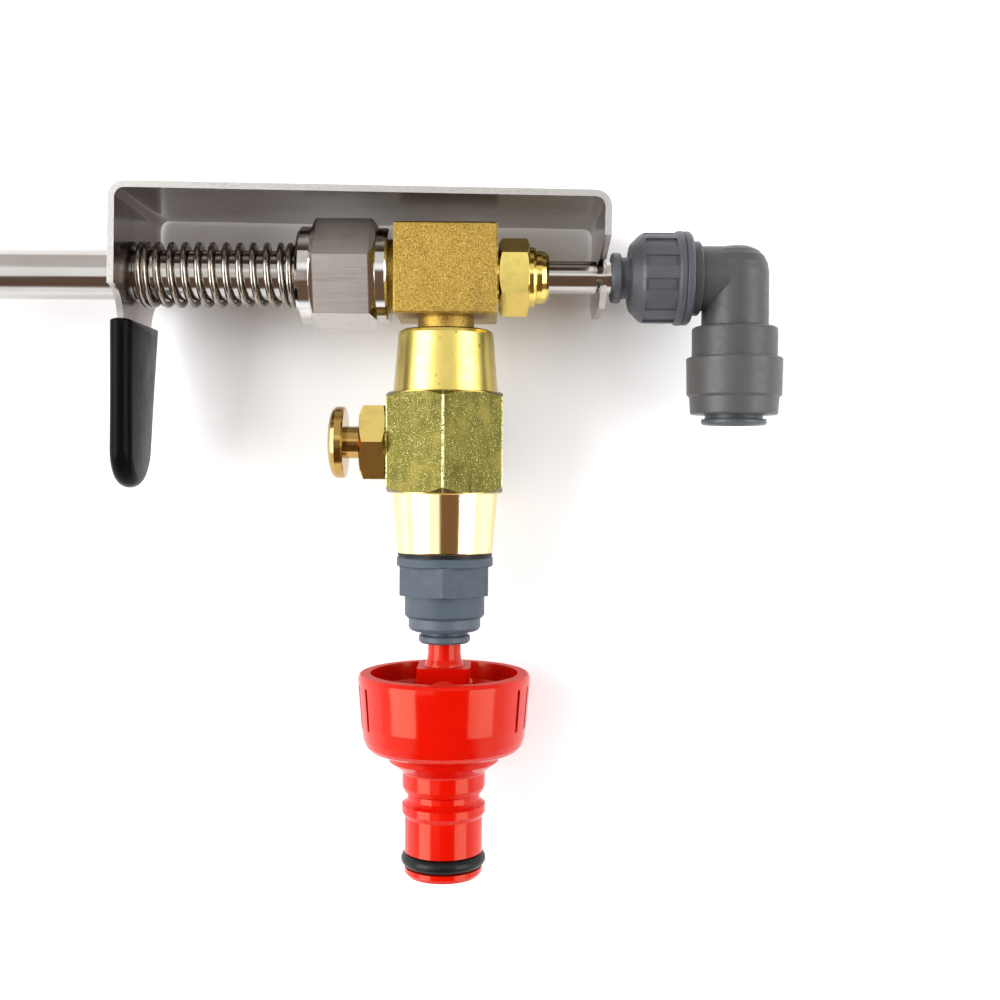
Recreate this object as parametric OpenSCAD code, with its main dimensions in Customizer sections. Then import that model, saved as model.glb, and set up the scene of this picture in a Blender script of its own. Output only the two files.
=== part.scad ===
// Lever-operated twin-tube filling wand.
// The wand lies along X with its outlet tip at the origin, the handle points along -Y, and +Z is up
// when the wand lies on its side. All lengths are in millimetres.

/* [Wand] */
// Distance from the outlet tip to the handle's axis
reach = 360; // [200:5:600]
// Outer diameter of the wand tube
wand_od = 9.525; // [9.4:0.025:9.6]
// Bore of the wand tube
wand_id = 7.74; // [7.5:0.02:7.9]
// Outer diameter of the sliding inner tube
inner_od = 6.35; // [6.3:0.05:6.4]
// Bore of the sliding inner tube
inner_id = 4; // [3.6:0.1:4.2]
// Travel of the lever, and of the inner tube with it
trigger_travel = 8; // [4:0.5:8]

/* [Bracket] */
// Thickness of the bracket's sheet
sheet = 1.2; // [1:0.1:1.4]
// Width of the bracket's strip
bracket_w = 31.8; // [30:0.1:33]
// Height of the top plate's outer face over the wand's axis
plate_h = 13.8; // [13.7:0.05:15]
// Slope of the top plate down towards the elbow, in degrees
plate_slope = 0.7; // [0:0.01:1]
// Outer radius of the bends
bend_r = 3; // [2.4:0.1:4]
// Length of the lever below the wand's axis
lever_len = 40.2; // [34:0.1:50]
// Outward lean of the lever, in degrees
lever_lean = 1.3; // [0:0.1:2]
// Width of the lever at its root
lever_w = 18.4; // [16:0.2:20]
// Width of the lever at its round end
lever_end_w = 13.6; // [12:0.2:16]
// Thickness of the dipped vinyl on the lever
vinyl = 1.5; // [1:0.1:1.6]

/* [Trigger spring] */
// Diameter of the spring's wire
spring_wire = 1.1; // [0.8:0.1:1.2]
// Mean diameter of the spring
spring_d = 11.5; // [11.3:0.1:13]
// Closed turns at each end
spring_closed = 1.5; // [1:0.25:2]
// Open turns between the ends
spring_open = 10; // [8:0.5:12]

/* [Tee block] */
// Width of the block along the wand
block_w = 19.3; // [18:0.1:19.4]
// Height of the block
block_h = 16.9; // [16:0.1:17.2]
// Depth of the block
block_d = 19; // [17:0.1:19]
// Hexagon of the tube nut, across its flats
nut_af = 19; // [18.6:0.1:19.4]
// Hexagon of the gland nut, across its flats
gland_af = 13; // [12.7:0.1:13.5]

/* [Valve] */
// Hexagon of the valve body, across its flats
valve_af = 22; // [21.5:0.1:23]
// Distance of the push button's axis below the wand's axis
button_drop = 31.9; // [31.5:0.1:32.3]
// Diameter of the push button
button_d = 13.8; // [12:0.2:16]
// Hexagon of the bonnet, across its flats
bonnet_af = 14; // [13.5:0.1:14.5]
// Travel of the push button
button_travel = 1.9; // [1:0.1:1.9]

/* [Hose adapter] */
// Largest diameter of the cup
cup_d = 33.3; // [33:0.1:34]
// Number of grip grooves in each side of the cup
cup_grooves = 5; // [3:2:7]
// Pitch of the cup's inside thread
thread_pitch = 1.814; // [1.5:0.002:2]

/* [Elbow] */
// Distance from the handle's axis to the axis of the elbow's leg
elbow_x = 55.65; // [55.4:0.05:56]
// Number of flutes around the elbow's screw cap
cap_flutes = 12; // [8:1:16]

/* [Hidden] */
$fn = 72;

// Colours
steel = "#b9b4ad";
brass = "#d8b24a";
grey_plastic = "#6f757a";
red_plastic = "#ee1c0c";
rubber = "#151515";
vinyl_black = "#101113";
ptfe = "#eeeeea";

// Clearances: a moving fit, a static fit and a threaded fit, on the radius
run = 0.04;
snug = 0.02;
eps = 0.01;

wand_r = wand_od / 2;
inner_r = inner_od / 2;
tip_x = -reach;

// Wand tip, measured from the tube's end
ring_len = 6;
ring_turned = 5.2;
ring_r = 4.4;
window_len = 8;
window_w = 4.2;
stopper_pin_r = 0.78;
stopper_pin_at = 1.4;
lip_r = ring_r - 0.25;
seat_gap = 0.05;
cone_start = 5.4;
cone_end = 8.2;
cone_r0 = 3.2;
cone_r1 = 1.2;
inner_tip = cone_start + (cone_r0 - inner_id / 2) * (cone_end - cone_start) / (cone_r0 - cone_r1) + seat_gap;

// Stations along the wand, measured from the handle's axis
ear_left_x = -60.3;
ear_right_x = 29;
nut_x0 = -27.9;
nut_x1 = -10.8;
tube_stop_x = -8.2;
groove_x0 = ear_right_x - 0.25;
groove_x1 = ear_right_x + sheet + 0.35;
groove_r = 2.6;
fork_r = groove_r + 0.1;
ear_hole_r = wand_r + 0.35;
tongue_y = -11.5;
grip_top = -9.9;

block_x0 = -9.5;
block_x1 = block_x0 + block_w;
block_y0 = -8;

// Stations along the handle, as distances below the wand's axis
stub_end = 17;
valve_top = 10.3;
hex_top = 22.2;
hex_bottom = 41.6;
valve_bottom = 53.1;
washer_h = 0.7;
fitting_top = valve_bottom + washer_h;
fitting_hex = 55.6;
fitting_round = 61.2;
fitting_end = 65.5;
fitting_cap_end = 68.1;
collet_lip = 68.95;
collet_end = 70.4;
stem_top = 56.6;
rim_y = 76.3;
cup_floor = 88.5;
spigot_end = 115.5;
o_ring_y = 112.4;
cup_r = cup_d / 2;

// Stations along the elbow's leg, as distances below the wand's axis
leg_shoulder = 9.3;
leg_joint = 15.15;
leg_seal = 20.2;
leg_end = 26.1;
outlet_lip = 26.95;
outlet_end = 28.1;
supply_r = 4.82;

// Corner radius of a hexagon from its size across the flats
function corner_r(af) = af / (2 * cos(30));

// Draws in a frame whose origin is the crossing of the wand's and the handle's axes
module at_handle() {
    translate([reach, 0, 0]) children();
}

// Revolves a profile of [radius, x] points around the wand's axis
module turned_x(profile) {
    rotate([0, 90, 0]) rotate_extrude() polygon(profile);
}

// Revolves a profile of [radius, distance down] points around the handle's axis
module turned_down(profile) {
    rotate([90, 0, 0]) rotate_extrude() polygon(profile);
}

// A round bar or bore along the wand's axis, from x0 to x1
module bar_x(r, x0, x1) {
    translate([x0, 0, 0]) rotate([0, 90, 0]) cylinder(r = r, h = x1 - x0);
}

// A round bar or bore along the handle's axis, from y0 to y1 below the wand
module bar_down(r, y0, y1) {
    translate([0, -y0, 0]) rotate([90, 0, 0]) cylinder(r = r, h = y1 - y0);
}

// A ring of round section around the wand's axis
module ring_x(mean_r, section_r, x) {
    translate([x, 0, 0]) rotate([0, 90, 0]) rotate_extrude() translate([mean_r, 0]) circle(section_r);
}

// A ring of round section around the handle's axis
module ring_down(mean_r, section_r, y) {
    translate([0, -y, 0]) rotate([90, 0, 0]) rotate_extrude() translate([mean_r, 0]) circle(section_r);
}

// A hexagonal bar from z = 0 to h with its corners turned off at each end
module turned_hex(af, h, low, high) {
    r = corner_r(af);
    flat = af / 2 - 0.15;
    intersection() {
        cylinder(r = r, h = h, $fn = 6);
        rotate_extrude() polygon([
            [0, 0], [low > 0 ? flat : r + 1, 0], [r + 1, low * (r + 1 - flat) / (r - flat)],
            [r + 1, h - high * (r + 1 - flat) / (r - flat)], [high > 0 ? flat : r + 1, h], [0, h]
        ]);
    }
}

// One ring of points of a wire, at turn t of a coil along X
function coil_ring(t, x, mean_r, wire_r, sides) = [
    for (k = [0 : sides - 1])
        let (a = 360 * k / sides, rr = mean_r + wire_r * cos(a))
            [x + wire_r * sin(a), rr * cos(360 * t), rr * sin(360 * t)]
];

// Distance along the coil's axis at turn t: closed turns touch, open turns share the rest
function coil_x(t, len, wire, closed, open) =
    let (pitch = (len - wire - 2 * closed * wire * 1.02) / open)
        t < closed ? t * wire * 1.02
        : t < closed + open ? closed * wire * 1.02 + (t - closed) * pitch
        : closed * wire * 1.02 + open * pitch + (t - closed - open) * wire * 1.02;

// A compression spring along X from x0, with closed ends
module coil_spring(x0, len, mean_r, wire, closed, open, sides, per_turn) {
    turns = 2 * closed + open;
    last = round(turns * per_turn);
    points = [
        for (i = [0 : last])
            each coil_ring(i / per_turn, x0 + wire / 2 + coil_x(i / per_turn, len, wire, closed, open),
                mean_r, wire / 2, sides)
    ];
    polyhedron(points, concat(
        [[for (k = [0 : sides - 1]) k]],
        [
            for (i = [0 : last - 1], k = [0 : sides - 1])
                let (a = i * sides + k, b = i * sides + (k + 1) % sides)
                    each [[a, a + sides, b + sides], [a, b + sides, b]]
        ],
        [[for (k = [sides - 1 : -1 : 0]) last * sides + k]]
    ));
}

// --- Wand ---

// Outer tube, with four outlet windows behind a plain end ring
module wand_tube() at_handle() color(steel) difference() {
    turned_x([
        [wand_id / 2, tip_x], [ring_r, tip_x], [ring_r, tip_x + ring_turned],
        [wand_r, tip_x + ring_turned + 0.2],
        [wand_r, tube_stop_x], [wand_id / 2, tube_stop_x]
    ]);
    for (turn = [45, 135]) rotate([turn, 0, 0]) {
        for (end = [ring_len + window_w / 2, ring_len + window_len - window_w / 2])
            translate([tip_x + end, 0, -wand_od]) cylinder(r = window_w / 2, h = 2 * wand_od);
        translate([tip_x + ring_len + window_w / 2, -window_w / 2, -wand_od])
            cube([window_len - window_w, window_w, 2 * wand_od]);
    }
    translate([tip_x + stopper_pin_at, 0, -wand_od]) cylinder(r = stopper_pin_r + snug, h = 2 * wand_od);
}

// Rubber stopper in the tip: the inner tube's mouth closes on its cone
module tip_stopper() at_handle() color(rubber) difference() {
    turned_x([
        [0, tip_x - 1], [3.5, tip_x - 1], [lip_r, tip_x - 0.4], [lip_r, tip_x],
        [wand_id / 2 - snug, tip_x], [wand_id / 2 - snug, tip_x + 5], [cone_r0, tip_x + cone_start],
        [cone_r1, tip_x + cone_end], [0, tip_x + cone_end]
    ]);
    translate([tip_x + stopper_pin_at, 0, -wand_od]) cylinder(r = stopper_pin_r + snug, h = 2 * wand_od);
}

// Cross pin that holds the stopper
module stopper_pin() at_handle() color(steel) {
    translate([tip_x + stopper_pin_at, 0, -ring_r + 0.1]) cylinder(r = stopper_pin_r, h = 2 * ring_r - 0.2);
}

// Compression nut with a turned collar at each end, and a cone inside for the ferrule
module tube_nut() at_handle() color(steel) difference() {
    union() {
        turned_x([
            [4, nut_x0], [8.7, nut_x0], [9.3, nut_x0 + 0.6], [9.3, -24.5], [9.1, -13.5],
            [9.1, nut_x1 - 0.4], [8.8, nut_x1], [4, nut_x1]
        ]);
        translate([-25.3, 0, 0]) rotate([0, 90, 0]) rotate([0, 0, 47]) turned_hex(nut_af, 12.4, 0.7, 1.1);
    }
    bar_x(wand_r + run, nut_x0 - 1, -25.4);
    turned_x([[0, -25.5], [5.2, -25.5], [6.95, -20.5], [6.95, nut_x1 + 1], [0, nut_x1 + 1]]);
}

// Ferrule that grips the wand tube
module tube_ferrule() at_handle() color(brass) {
    turned_x([
        [wand_r + snug, -24.8], [5.3, -24.8], [6.1, -22], [6.1, -20.6], [4.95, -18], [wand_r + snug, -18]
    ]);
}

// --- Tee block ---

// Square brass block with a threaded stub for the nut, one for the valve, and a gland port
module tee_block() at_handle() color(brass) difference() {
    union() {
        intersection() {
            translate([block_x0, block_y0, -block_d / 2]) cube([block_w, block_h, block_d]);
            translate([block_x0 + block_w / 2, block_y0 + block_h / 2, 0])
                for_edges(block_w, block_h, block_d, 0.35);
        }
        turned_x([
            [3, -19.5], [6.4, -19.5], [6.9, -19], [6.9, -10.7], [7, -10.7], [7, -9], [3, -9]
        ]);
        turned_down([
            [2, 7.5], [5.4, 7.5], [5.4, stub_end - 0.6], [4.8, stub_end], [2, stub_end]
        ]);
    }
    turned_x([
        [0, -20], [6, -20], [6, -19.5], [wand_r + run, -17.5], [wand_r + run, tube_stop_x],
        [4.2, tube_stop_x], [4.2, 3.8], [5.5, 3.8], [5.5, block_w], [0, block_w]
    ]);
    bar_down(3.3, 0, stub_end + 1);
}

// Two crossed boxes and one long box that trim the twelve edges of a block by c
module for_edges(w, h, d, c) {
    intersection_for(turn = [[0, 0, 0], [90, 0, 0], [0, 90, 0]]) {
        size = turn == [0, 0, 0] ? [w, h, d] : turn == [90, 0, 0] ? [w, d, h] : [d, h, w];
        rotate(turn) linear_extrude(size[2] + 2, center = true) polygon([
            for (s = [[1, 1], [-1, 1], [-1, -1], [1, -1]])
                let (x = s[0] * size[0] / 2, y = s[1] * size[1] / 2, first = s[0] * s[1] > 0)
                    each first ? [[x, y - s[1] * c], [x - s[0] * c, y]] : [[x - s[0] * c, y], [x, y - s[1] * c]]
        ]);
    }
}

// Gland nut with a domed nose, which the inner tube slides through
module gland_nut() at_handle() color(brass) difference() {
    union() {
        turned_x([
            [3, 6.4], [5.45, 6.4], [5.45, block_x1 - 0.3], [5, block_x1 - 0.3], [5, 11], [3, 11]
        ]);
        translate([10.1, 0, 0]) rotate([0, 90, 0]) rotate([0, 0, 30]) turned_hex(gland_af, 5.8, 0.6, 0.45);
        turned_x([
            [3, 15], [5.75, 15], [5.75, 16.7], [5.5, 17.1], [5.05, 17.3], [5.05, 18.3], [4.8, 19.1],
            [4.3, 19.6], [3, 19.7]
        ]);
    }
    bar_x(inner_r + run, 6, 20);
    bar_x(4.62, 16.4, 18);
}

// Packing that seals the sliding tube
module packing_ring() at_handle() color(ptfe) difference() {
    bar_x(5.45, 3.85, 6.35);
    bar_x(inner_r + snug, 3, 7);
}

// Wiper ring in the gland nut's nose
module gland_wiper() at_handle() color(rubber) {
    ring_x(inner_r + snug + 0.7, 0.7, 17.2);
}

// --- Valve ---

// Turned and hexagonal valve body, with a port at each end and the button's cross bore
module valve_body() at_handle() color(brass) difference() {
    union() {
        turned_down([
            [2, valve_top], [8.3, valve_top], [8.9, valve_top + 0.3], [9.15, valve_top + 0.9],
            [10.05, hex_top + 0.1], [10.1, hex_bottom], [10.05, hex_bottom + 0.8],
            [9.35, valve_bottom - 0.4], [9, valve_bottom], [2, valve_bottom]
        ]);
        translate([0, -hex_top, 0]) rotate([90, 0, 0]) rotate([0, 0, 30])
            turned_hex(valve_af, hex_bottom - hex_top, 1.1, 1.4);
    }
    turned_down([
        [0, valve_top - 1], [5.46, valve_top - 1], [5.46, 17.8], [3, 19.2], [0, 19.2]
    ]);
    translate([-2.4, 0, 0]) bar_down(2.2, 18, button_drop);
    translate([4.6, 0, 0]) bar_down(2, button_drop, 46);
    turned_down([
        [0, 42.5], [3, 42.5], [6.36, 44.2], [6.36, valve_bottom + 1], [0, valve_bottom + 1]
    ]);
    translate([0, -button_drop, 0]) {
        bar_x(5.2, -valve_af, -5);
        bar_x(4.2, -6, 8);
    }
}

// Bonnet that guides the button's stem
module valve_bonnet() at_handle() translate([0, -button_drop, 0]) color(brass) difference() {
    union() {
        translate([-16.1, 0, 0]) rotate([0, 90, 0]) turned_hex(bonnet_af, 4.95, 0.7, 0.5);
        bar_x(5.15, -11.3, -5.2);
    }
    bar_x(3.1 + run, -17, -5);
    bar_x(4.32, -13.6, -12.2);
}

// Seal around the button's stem
module bonnet_seal() at_handle() translate([0, -button_drop, 0]) color(rubber) {
    ring_x(3.1 + snug + 0.58, 0.58, -12.9);
}

// Seat ring pressed into the valve's chamber
module valve_seat() at_handle() translate([0, -button_drop, 0]) color(brass) difference() {
    bar_x(4.18, -0.6, 0.9);
    bar_x(1.9, -1, 2);
}

// Domed button, stem and spindle in one turned piece
module valve_button() at_handle() translate([0, -button_drop, 0]) color(brass) {
    turned_x([
        [0, -22.5], [3.2, -22.4], [5, -22.1], [button_d / 2 - 0.9, -21.8], [button_d / 2 - 0.3, -21.4],
        [button_d / 2, -20.8], [button_d / 2, -19.5], [button_d / 2 - 0.3, -19.2], [3.1, -19.2],
        [3.1, -6], [1.2, -6],
        [1.2, 3.3], [0, 3.3]
    ]);
}

// Rubber disc that closes on the seat
module poppet_disc() at_handle() translate([0, -button_drop, 0]) color(rubber) difference() {
    bar_x(3.2, 0.95, 2.2);
    bar_x(1.2 + snug, 0, 3);
}

// Backing washer of the poppet
module poppet_washer() at_handle() translate([0, -button_drop, 0]) color(brass) difference() {
    bar_x(3, 2.22, 3);
    bar_x(1.2 + snug, 2, 4);
}

// Return spring of the button
module valve_spring() at_handle() translate([0, -button_drop, 0]) color(steel) {
    coil_spring(3.05, 4.9, 2.4, 0.5, 1, 4, 6, 14);
}

// --- Hose fitting ---

// Black washer between the valve body and the plastic fitting
module seal_washer() at_handle() color(rubber) difference() {
    bar_down(9.1, valve_bottom, fitting_top);
    bar_down(6.4, valve_bottom - 1, fitting_top + 1);
}

// Push-in fitting with a flange, a hexagon and a threaded end
module hose_fitting() at_handle() color(grey_plastic) difference() {
    union() {
        turned_down([
            [2, 45.2], [5.8, 45.2], [6.3, 45.8], [6.3, fitting_top], [9.05, fitting_top],
            [9.28, fitting_top + 0.25], [9.28, fitting_hex - 0.2], [9.1, fitting_hex], [7.7, fitting_hex],
            [7.7, fitting_end - 0.5], [7.3, fitting_end], [2, fitting_end]
        ]);
        translate([0, -fitting_hex + 0.1, 0]) rotate([90, 0, 0]) rotate([0, 0, 30])
            turned_hex(16.8, fitting_round - fitting_hex + 0.1, 0, 0.25);
    }
    turned_down([
        [0, 45], [2.2, 45], [2.2, 56.4], [inner_r + run, 56.4], [inner_r + run, 59.5], [4.7, 59.5],
        [4.7, 62], [5.9, 62], [5.9, fitting_end + 1], [0, fitting_end + 1]
    ]);
}

// Retaining cap of the push-in fitting
module fitting_cap() at_handle() color(grey_plastic) {
    turned_down([
        [5.2, 63.4], [5.87, 63.4], [5.87, fitting_end + 0.05], [6.95, fitting_end + 0.05],
        [6.95, fitting_cap_end - 0.8], [6.6, fitting_cap_end - 0.2], [6.1, fitting_cap_end],
        [4.3, fitting_cap_end], [4.3, 66.8]
    ]);
}

// Tube seal of the push-in fitting
module fitting_seal() at_handle() color(rubber) {
    ring_down(inner_r + snug + 0.73, 0.73, 60.75);
}

// A release collet along the handle's direction: lip, neck and slit fingers with a groove for the teeth
module collet(bore_r, neck_r, lip_r, finger_r, y0, y_cone, y_lip, y_end) {
    difference() {
        turned_down([
            [bore_r, y0], [finger_r, y0], [finger_r, y0 + 0.6], [neck_r, y_cone], [neck_r, y_lip],
            [lip_r - 0.2, y_lip], [lip_r, y_lip + 0.25], [lip_r, y_end - 0.35], [lip_r - 0.35, y_end],
            [bore_r + 0.3, y_end], [bore_r, y_end - 0.3]
        ]);
        for (turn = [0, 90]) rotate([0, turn, 0])
            translate([-finger_r - 1, -y_cone, -0.4]) cube([2 * finger_r + 2, y_cone - y0 + 1, 0.8]);
        bar_down(bore_r + 0.5, y0 + 0.75, y0 + 1.15);
    }
}

// A ring of steel teeth inside a collet, in four arcs
module teeth(bore_r, y0) {
    difference() {
        bar_down(bore_r + 0.46, y0 + 0.8, y0 + 1.1);
        bar_down(bore_r + snug, y0, y0 + 2);
        for (turn = [0, 90]) rotate([0, turn, 0])
            translate([-bore_r - 1, -y0 - 2, -0.6]) cube([2 * bore_r + 2, 4, 1.2]);
    }
}

// Release collet of the push-in fitting
module fitting_collet() at_handle() color(grey_plastic) {
    collet(inner_r + run, 4.05, 4.98, 4.75, 62.8, 66.4, collet_lip, collet_end);
}

// Gripping teeth in the fitting's collet
module fitting_teeth() at_handle() color(steel) {
    teeth(inner_r + run, 62.8);
}

// --- Hose adapter ---

// One lengthwise grip groove in the cup's side
module cup_groove(turn) {
    rotate([0, turn, 0]) translate([-0.45, -86.4, 15.75]) rotate([-4.5, 0, 0]) cube([0.9, 8, 3]);
}

// Cup with a ringed inside thread, grooves in its sides, and the click spigot below it
module hose_adapter() at_handle() color(red_plastic) difference() {
    union() {
        turned_down([
            [4, rim_y], [16, rim_y], [16.35, rim_y + 0.2], [cup_r, rim_y + 0.7], [cup_r, 77.8],
            [16, 86], [15.6, 88.8], [15.2, 90], [14.5, 90.8], [13.9, 91.1], [10.9, 92.2],
            [10.7, 93.2], [8.3, 95.1], [8.05, 95.5], [8.05, 98.2], [7.6, 99.2], [7, 99.6], [7, 100.7],
            [7.4, 101.2], [8.08, 101.7], [8.08, 103.2], [7.56, 104.1], [7.56, 110.9], [5.56, 110.9],
            [5.56, 113.9], [7.56, 113.9], [7.56, 114.8], [7.1, spigot_end], [4, spigot_end]
        ]);
    }
    for (side = [90, 270], k = [0 : cup_grooves - 1])
        cup_groove(side + (k - (cup_grooves - 1) / 2) * 15);
    turned_down([
        [0, rim_y - 1], [14.25, rim_y - 1], [14.25, rim_y], [13.9, rim_y + 3.4],
        for (k = [0 : 2])
            each [[13.1, rim_y + 4.3 + k * thread_pitch], [13.8, rim_y + 5.2 + k * thread_pitch]],
        [13.05, 86.6], [13.05, cup_floor], [0, cup_floor]
    ]);
    bar_down(4.5, 80, spigot_end + 1);
}

// Flat washer on the cup's floor
module tap_washer() at_handle() color(rubber) difference() {
    bar_down(12.9, cup_floor - 1.6, cup_floor);
    bar_down(7, cup_floor - 3, cup_floor + 1);
}

// Stem with a square collar, screwed into the middle of the cup
module adapter_stem() at_handle() color(red_plastic) difference() {
    union() {
        turned_down([
            [1.5, stem_top], [2.9, stem_top], [inner_r, stem_top + 0.6], [inner_r, 72.4], [3.3, 73.6],
            [3.7, 74.5], [3.9, 75.2], [5.6, 78], [5.6, cup_floor], [4.45, cup_floor], [4.45, 93.8],
            [3.35, 93.8], [3.35, 95.1], [4.45, 95.1], [4.45, 96.4], [4, 96.8], [1.5, 96.8]
        ]);
        translate([0, -74.9, 0]) rotate([90, 0, 0]) rotate([0, 0, 45])
            intersection() {
                cylinder(r = 10.2 / sqrt(2), h = 5, $fn = 4);
                cylinder(r = 6.6, h = 5);
            }
    }
    bar_down(2, stem_top - 1, 98);
}

// Ring seal on the stem's threaded end
module stem_seal() at_handle() color(rubber) {
    ring_down(3.92, 0.54, 94.45);
}

// Seal near the spigot's end
module spigot_o_ring() at_handle() color(rubber) {
    ring_down(6.9, 1.32, o_ring_y);
}

// --- Trigger ---

// Compression spring between the bracket's ear and the tube nut
module trigger_spring() at_handle() color(steel) {
    start = ear_left_x + sheet + 0.45;
    coil_spring(start, nut_x0 - 0.1 - start, spring_d / 2, spring_wire, spring_closed, spring_open, 8, 16);
}

// One bend of the bracket at its upper left (side = -1) or upper right (side = 1) corner
module bend(x, side) {
    translate([x, plate_h - bend_r, 0]) intersection() {
        difference() {
            cylinder(r = bend_r, h = bracket_w, center = true);
            cylinder(r = bend_r - sheet, h = bracket_w + 2, center = true);
        }
        translate([side > 0 ? 0 : -bend_r, 0, -bracket_w / 2]) cube([bend_r, bend_r, bracket_w]);
    }
}

// Bent strip: lever and left ear, top plate, and a right ear with a fork for the inner tube's groove
module bracket() at_handle() color(steel) difference() {
    rotate([0, 0, -plate_slope]) union() {
        right_x = ear_right_x + sheet;
        translate([ear_left_x + bend_r, plate_h - sheet, -bracket_w / 2])
            cube([right_x - ear_left_x - 2 * bend_r, sheet, bracket_w]);
        bend(ear_left_x + bend_r, -1);
        bend(right_x - bend_r, 1);
        translate([ear_right_x, -6.2, -bracket_w / 2]) cube([sheet, 6.2 + plate_h - bend_r, bracket_w]);
        difference() {
            translate([ear_left_x, tongue_y, -bracket_w / 2])
                cube([sheet, plate_h - bend_r - tongue_y, bracket_w]);
            for (side = [-1, 1])
                translate([ear_left_x - 1, tongue_y, side * (lever_w / 2 + 7)])
                    rotate([0, 90, 0]) cylinder(r = 7, h = sheet + 2);
        }
        leaning() tongue(0, 0.4);
    }
    bar_x(ear_hole_r, ear_left_x - 3, ear_left_x + 4);
    fork_cut();
}

// Leans a piece of the lever outwards about the lever's root
module leaning() {
    translate([ear_left_x + sheet / 2, tongue_y, 0]) rotate([0, 0, -lever_lean])
        translate([-ear_left_x - sheet / 2, -tongue_y, 0]) children();
}

// The lever's blade, grown all round by a margin and lengthened at its root by a lap
module tongue(margin, lap) {
    end_r = lever_end_w / 2;
    translate([ear_left_x - margin, 0, 0]) rotate([0, 90, 0]) linear_extrude(sheet + 2 * margin) union() {
        polygon([
            [-lever_w / 2 - margin, tongue_y + lap], [-end_r - margin, -lever_len + end_r],
            [end_r + margin, -lever_len + end_r], [lever_w / 2 + margin, tongue_y + lap]
        ]);
        translate([0, -lever_len + end_r]) circle(end_r + margin);
    }
}

// Slot, flared mouth and trimmed corners of the right ear
module fork_cut() {
    half = bracket_w / 2;
    translate([ear_right_x - 2, 0, 0]) {
        rotate([0, 90, 0]) cylinder(r = fork_r, h = 5);
        translate([0, -fork_r, 0]) cube([5, 2 * fork_r, half + 2]);
        rotate([0, 90, 0]) linear_extrude(5) {
            polygon([
                [-half - 2, 6.2], [-half, 5.4], [-6, fork_r], [-6, 0], [-8.6, 0], [-8.6, -9], [-half - 2, -9]
            ]);
            polygon([[half + 1, -3.2], [half + 1, -9], [9.5, -9], [half - 4.4, -6.4]]);
            polygon([[-4.6, -9], [-5.2, -6.4], [-9, -3.6], [-9, -9]]);
        }
    }
}

// Dipped vinyl sleeve on the lever
module lever_grip() at_handle() color(vinyl_black) rotate([0, 0, -plate_slope]) leaning() difference() {
    bead = sheet / 2 + vinyl;
    end_r = lever_end_w / 2 + vinyl - bead;
    side = lever_w / 2 + vinyl - bead;
    hull() {
        for (z = [-side, side])
            translate([ear_left_x + sheet / 2, grip_top + 1, z]) sphere(bead, $fn = 24);
        for (a = [0 : 22.5 : 180])
            translate([ear_left_x + sheet / 2, -lever_len + lever_end_w / 2 - end_r * sin(a), end_r * cos(a)])
                sphere(bead, $fn = 24);
    }
    tongue(snug, eps);
    translate([ear_left_x - 0.08, tongue_y - 0.5, -lever_w / 2 - 0.6])
        cube([sheet + 0.16, 10, lever_w + 1.2]);
    translate([ear_left_x - 5, grip_top, -bracket_w]) cube([12, 10, 2 * bracket_w]);
}

// --- Inner tube and elbow ---

// Sliding tube, with a groove for the bracket's fork
module inner_tube() at_handle() color(steel) {
    turned_x([
        [inner_id / 2, tip_x + inner_tip], [inner_r - 0.3, tip_x + inner_tip],
        [inner_r, tip_x + inner_tip + 0.3], [inner_r, groove_x0], [groove_r, groove_x0],
        [groove_r, groove_x1], [inner_r, groove_x1], [inner_r, 47.2], [inner_r - 0.3, 47.5],
        [inner_id / 2, 47.5]
    ]);
}

// Moulded elbow with a threaded inlet barrel and a push-in leg
module elbow_body() at_handle() color(grey_plastic) difference() {
    union() {
        turned_x([
            [2, 38.9], [6.3, 38.9], [6.6, 39.3], [6.6, 46.8], [6.9, 46.8], [7.1, 47.1], [7.1, 48.3],
            [6.8, 48.6], [6.2, 48.6], [6.2, elbow_x], [2, elbow_x]
        ]);
        translate([elbow_x, 0, 0]) {
            turned_down([
                [0, -6.26], [1.4, -6.26], [3, -6], [4.4, -5.3], [5.5, -4.2], [6.15, -2.8], [6.4, -1.2],
                [6.42, leg_shoulder], [7.7, leg_shoulder], [8.1, leg_shoulder + 0.25],
                [8.19, leg_shoulder + 0.7], [8.19, leg_joint], [7.4, leg_joint], [7.4, leg_seal],
                [0, leg_seal]
            ]);
        }
    }
    turned_x([
        [0, 38], [5.2, 38], [5.2, 41], [4.7, 41], [4.7, 43.4], [inner_r + run, 43.4],
        [inner_r + run, 47.6], [2.4, 47.6], [2.4, elbow_x], [0, elbow_x]
    ]);
    translate([elbow_x, 0, 0]) turned_down([
        [0, -2.9], [3, -2.9], [3.6, 0.8], [3.6, 12.6], [supply_r, 12.6],
        [supply_r, 17.4], [6.4, 17.4], [6.4, leg_seal + 1], [0, leg_seal + 1]
    ]);
}

// Fluted screw cap that holds the inlet's collet
module elbow_cap() at_handle() color(grey_plastic) difference() {
    turned_x([
        [4.15, 35.1], [6, 35.1], [6.5, 35.3], [8.1, 36.9], [8.5, 37.5], [8.6, 38.1], [8.6, 43.7],
        [8.85, 43.9], [9, 44.2], [9, 45], [8.7, 45.2], [8.95, 45.5], [8.9, 46.3], [8.5, 46.75],
        [6.7, 46.75], [6.7, 38.85], [4.95, 38.85], [4.15, 36.4]
    ]);
    for (k = [0 : cap_flutes - 1]) rotate([360 / cap_flutes * (k + 0.5), 0, 0])
        translate([37.6, -1.1, 8.2]) cube([6, 2.2, 2]);
}

// Seal of the elbow's inlet
module inlet_seal() at_handle() color(rubber) {
    ring_x(inner_r + snug + 0.73, 0.73, 42.2);
}

// Turns a piece drawn along the handle's direction so that its lip faces the wand's tip
module facing_tip() {
    rotate([0, 0, -90]) children();
}

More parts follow.
